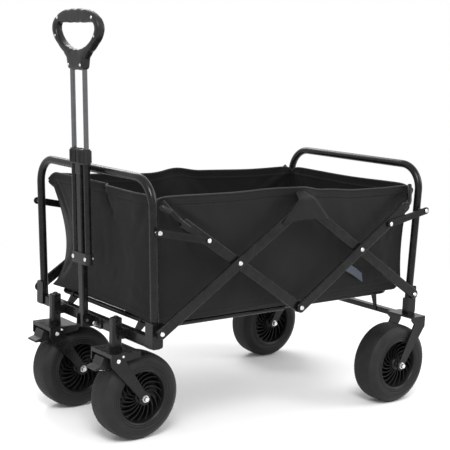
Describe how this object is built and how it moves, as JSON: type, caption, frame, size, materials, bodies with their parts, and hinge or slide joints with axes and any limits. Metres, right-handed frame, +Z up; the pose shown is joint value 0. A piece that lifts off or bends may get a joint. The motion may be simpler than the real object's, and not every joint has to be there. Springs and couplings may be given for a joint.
{
  "type": "folding camp wagon",
  "caption": "Collapsible four-wheeled wagon: scissor side frame, fabric basket, swivelling front casters with foot brakes, fixed rear wheels and telescopic pull handle.",
  "frame": {"origin": "on the ground, at the middle of the length and width", "axes": "+X towards the rear, +Y towards the left side of the wagon, +Z up"},
  "size_m": [0.9154, 0.605, 0.9497],
  "materials": {
    "frame_paint": "black powder coat, semi-gloss",
    "zinc": "bright zinc plate",
    "bright_steel": "satin bright steel tube",
    "black_plastic": "moulded nylon",
    "grip_plastic": "soft-touch moulding",
    "hub_plastic": "moulded polypropylene",
    "tyre": "fine-treaded foam tyre",
    "basket_fabric": "coated oxford weave",
    "floor_fabric": "oxford weave over padded board"
  },
  "bodies": {
    "front_frame": {"front_hoop": "frame_paint", "front_crossbar": "frame_paint", "front_brackets": "frame_paint", "front_frame_pins": "zinc", "caster_housings": "frame_paint", "handle_clevis": "frame_paint", "front_panel": "basket_fabric", "side_panel_left": "basket_fabric", "side_panel_right": "basket_fabric"},
    "rear_frame": {"rear_hoop": "frame_paint", "rear_crossbar": "frame_paint", "rear_brackets": "frame_paint", "rear_frame_pins": "zinc", "rear_forks": "frame_paint", "rear_axles": "zinc", "rear_panel": "basket_fabric"},
    "front_floor": {"front_floor_frame": "frame_paint", "front_floor_board": "floor_fabric"},
    "rear_floor": {"rear_floor_frame": "frame_paint", "rear_floor_board": "floor_fabric"},
    "handle": {"handle_post": "frame_paint", "handle_outer_tubes": "frame_paint", "handle_collar": "black_plastic", "handle_lower_bracket": "black_plastic"},
    "handle_slide": {"handle_inner_tubes": "bright_steel", "handle_grip": "grip_plastic"},
    "front_lower_bar_left": {"front_lower_bar_left": "frame_paint", "front_lower_bar_rivets_left": "zinc"},
    "front_upper_bar_left": {"front_upper_bar_left": "frame_paint", "front_upper_bar_rivet_left": "zinc"},
    "rear_lower_bar_left": {"rear_lower_bar_left": "frame_paint", "rear_lower_bar_rivet_left": "zinc"},
    "rear_upper_bar_left": {"rear_upper_bar_left": "frame_paint"},
    "pocket_left": {"bar_pocket_left": "basket_fabric"},
    "front_link_left": {"front_link_left": "frame_paint"},
    "rear_link_left": {"rear_link_left": "frame_paint"},
    "caster_left": {"caster_fork_left": "frame_paint", "caster_axle_left": "zinc"},
    "brake_left": {"brake_pedal_left": "black_plastic"},
    "front_wheel_left": {"front_wheel_left_tyre": "tyre", "front_wheel_left_hub": "hub_plastic"},
    "rear_wheel_left": {"rear_wheel_left_tyre": "tyre", "rear_wheel_left_hub": "hub_plastic"},
    "front_lower_bar_right": {"front_lower_bar_right": "frame_paint", "front_lower_bar_rivets_right": "zinc"},
    "front_upper_bar_right": {"front_upper_bar_right": "frame_paint", "front_upper_bar_rivet_right": "zinc"},
    "rear_lower_bar_right": {"rear_lower_bar_right": "frame_paint", "rear_lower_bar_rivet_right": "zinc"},
    "rear_upper_bar_right": {"rear_upper_bar_right": "frame_paint"},
    "pocket_right": {"bar_pocket_right": "basket_fabric"},
    "front_link_right": {"front_link_right": "frame_paint"},
    "rear_link_right": {"rear_link_right": "frame_paint"},
    "caster_right": {"caster_fork_right": "frame_paint", "caster_axle_right": "zinc"},
    "brake_right": {"brake_pedal_right": "black_plastic"},
    "front_wheel_right": {"front_wheel_right_tyre": "tyre", "front_wheel_right_hub": "hub_plastic"},
    "rear_wheel_right": {"rear_wheel_right_tyre": "tyre", "rear_wheel_right_hub": "hub_plastic"}
  },
  "joints": [
    {"name": "fold", "type": "hinge", "parent": "front_frame", "child": "front_lower_bar_left", "pos_m": [-0.36575, 0.27025, 0.272], "axis": [0, -1, 0], "range_deg": [0, 41.8], "deforming": ["side_panel_left", "side_panel_right", "front_floor_board", "rear_floor_board"]},
    {"name": "front_upper_bar_left_pivot", "type": "hinge", "parent": "front_lower_bar_left", "child": "front_upper_bar_left", "pos_m": [-0.15975, 0.26175, 0.4068], "axis": [0, -1, 0], "range_deg": [-83.65, 0]},
    {"name": "rear_lower_bar_left_pivot", "type": "hinge", "parent": "front_lower_bar_left", "child": "rear_lower_bar_left", "pos_m": [0.02825, 0.27025, 0.52983], "axis": [0, -1, 0], "range_deg": [-83.65, 0]},
    {"name": "rear_upper_bar_left_pivot", "type": "hinge", "parent": "rear_lower_bar_left", "child": "rear_upper_bar_left", "pos_m": [0.21625, 0.27025, 0.4068], "axis": [0, -1, 0], "range_deg": [0, 83.65]},
    {"name": "pocket_left_pivot", "type": "hinge", "parent": "front_lower_bar_left", "child": "pocket_left", "pos_m": [0.02825, 0.27025, 0.52983], "axis": [0, -1, 0], "range_deg": [-41.85, 0]},
    {"name": "front_link_left_pivot", "type": "hinge", "parent": "front_frame", "child": "front_link_left", "pos_m": [-0.37562, 0.27025, 0.48958], "axis": [0, -1, 0], "range_deg": [0, 80.35]},
    {"name": "rear_link_left_pivot", "type": "hinge", "parent": "rear_frame", "child": "rear_link_left", "pos_m": [0.43212, 0.27025, 0.48958], "axis": [0, -1, 0], "range_deg": [-80.35, 0]},
    {"name": "front_lower_bar_right_pivot", "type": "hinge", "parent": "front_frame", "child": "front_lower_bar_right", "pos_m": [-0.36575, -0.27025, 0.272], "axis": [0, -1, 0], "range_deg": [0, 41.85]},
    {"name": "front_upper_bar_right_pivot", "type": "hinge", "parent": "front_lower_bar_right", "child": "front_upper_bar_right", "pos_m": [-0.15975, -0.26175, 0.4068], "axis": [0, -1, 0], "range_deg": [-83.65, 0]},
    {"name": "rear_lower_bar_right_pivot", "type": "hinge", "parent": "front_lower_bar_right", "child": "rear_lower_bar_right", "pos_m": [0.02825, -0.27025, 0.52983], "axis": [0, -1, 0], "range_deg": [-83.65, 0]},
    {"name": "rear_upper_bar_right_pivot", "type": "hinge", "parent": "rear_lower_bar_right", "child": "rear_upper_bar_right", "pos_m": [0.21625, -0.27025, 0.4068], "axis": [0, -1, 0], "range_deg": [0, 83.65]},
    {"name": "pocket_right_pivot", "type": "hinge", "parent": "front_lower_bar_right", "child": "pocket_right", "pos_m": [0.02825, -0.27025, 0.52983], "axis": [0, -1, 0], "range_deg": [-41.85, 0]},
    {"name": "front_link_right_pivot", "type": "hinge", "parent": "front_frame", "child": "front_link_right", "pos_m": [-0.37562, -0.27025, 0.48958], "axis": [0, -1, 0], "range_deg": [0, 80.35]},
    {"name": "rear_link_right_pivot", "type": "hinge", "parent": "rear_frame", "child": "rear_link_right", "pos_m": [0.43212, -0.27025, 0.48958], "axis": [0, -1, 0], "range_deg": [-80.35, 0]},
    {"name": "rear_frame_pivot", "type": "hinge", "parent": "rear_lower_bar_left", "child": "rear_frame", "pos_m": [0.42225, 0.26175, 0.272], "axis": [0, -1, 0], "range_deg": [0, 41.85]},
    {"name": "front_floor_hinge", "type": "hinge", "parent": "front_frame", "child": "front_floor", "pos_m": [-0.33415, 0, 0.272], "axis": [0, -1, 0], "range_deg": [0, 75.63]},
    {"name": "rear_floor_hinge", "type": "hinge", "parent": "rear_frame", "child": "rear_floor", "pos_m": [0.39065, 0, 0.272], "axis": [0, -1, 0], "range_deg": [-75.63, 0]},
    {"name": "caster_swivel_left", "type": "hinge", "parent": "front_frame", "child": "caster_left", "pos_m": [-0.39575, 0.136, 0.242], "axis": [0, 0, 1], "continuous": true},
    {"name": "front_wheel_left_spin", "type": "hinge", "parent": "caster_left", "child": "front_wheel_left", "pos_m": [-0.34225, 0.136, 0.1], "axis": [0, 1, 0], "continuous": true},
    {"name": "rear_wheel_left_spin", "type": "hinge", "parent": "rear_frame", "child": "rear_wheel_left", "pos_m": [0.35775, 0.25, 0.1], "axis": [0, 1, 0], "continuous": true},
    {"name": "brake_left_press", "type": "hinge", "parent": "caster_left", "child": "brake_left", "pos_m": [-0.41575, 0.136, 0.191], "axis": [0, -1, 0], "range_deg": [0, 14], "stiffness_Nm_per_rad": 1, "springref_deg": -5.73},
    {"name": "caster_swivel_right", "type": "hinge", "parent": "front_frame", "child": "caster_right", "pos_m": [-0.39575, -0.136, 0.242], "axis": [0, 0, 1], "continuous": true},
    {"name": "front_wheel_right_spin", "type": "hinge", "parent": "caster_right", "child": "front_wheel_right", "pos_m": [-0.34225, -0.136, 0.1], "axis": [0, 1, 0], "continuous": true},
    {"name": "rear_wheel_right_spin", "type": "hinge", "parent": "rear_frame", "child": "rear_wheel_right", "pos_m": [0.35775, -0.25, 0.1], "axis": [0, 1, 0], "continuous": true},
    {"name": "brake_right_press", "type": "hinge", "parent": "caster_right", "child": "brake_right", "pos_m": [-0.41575, -0.136, 0.191], "axis": [0, -1, 0], "range_deg": [0, 14], "stiffness_Nm_per_rad": 1, "springref_deg": -5.73},
    {"name": "handle_tilt", "type": "hinge", "parent": "front_frame", "child": "handle", "pos_m": [-0.39575, 0, 0.25], "axis": [0, -1, 0], "range_deg": [0, 80]},
    {"name": "handle_telescope", "type": "slide", "parent": "handle", "child": "handle_slide", "axis": [0.0419, 0, -0.9991], "range_m": [0, 0.17]}
  ],
  "couplings": [
    {"joint": "front_upper_bar_left_pivot", "follows": "fold", "ratio": -2},
    {"joint": "rear_lower_bar_left_pivot", "follows": "fold", "ratio": -2},
    {"joint": "rear_upper_bar_left_pivot", "follows": "fold", "ratio": 2},
    {"joint": "pocket_left_pivot", "follows": "fold", "ratio": -1},
    {"joint": "front_link_left_pivot", "follows": "fold", "ratio": 1.9211},
    {"joint": "rear_link_left_pivot", "follows": "fold", "ratio": -1.9211},
    {"joint": "front_lower_bar_right_pivot", "follows": "fold", "ratio": 1},
    {"joint": "front_upper_bar_right_pivot", "follows": "fold", "ratio": -2},
    {"joint": "rear_lower_bar_right_pivot", "follows": "fold", "ratio": -2},
    {"joint": "rear_upper_bar_right_pivot", "follows": "fold", "ratio": 2},
    {"joint": "pocket_right_pivot", "follows": "fold", "ratio": -1},
    {"joint": "front_link_right_pivot", "follows": "fold", "ratio": 1.9211},
    {"joint": "rear_link_right_pivot", "follows": "fold", "ratio": -1.9211},
    {"joint": "rear_frame_pivot", "follows": "fold", "ratio": 1},
    {"joint": "front_floor_hinge", "follows": "fold", "ratio": 1.8081},
    {"joint": "rear_floor_hinge", "follows": "fold", "ratio": -1.8081}
  ]
}
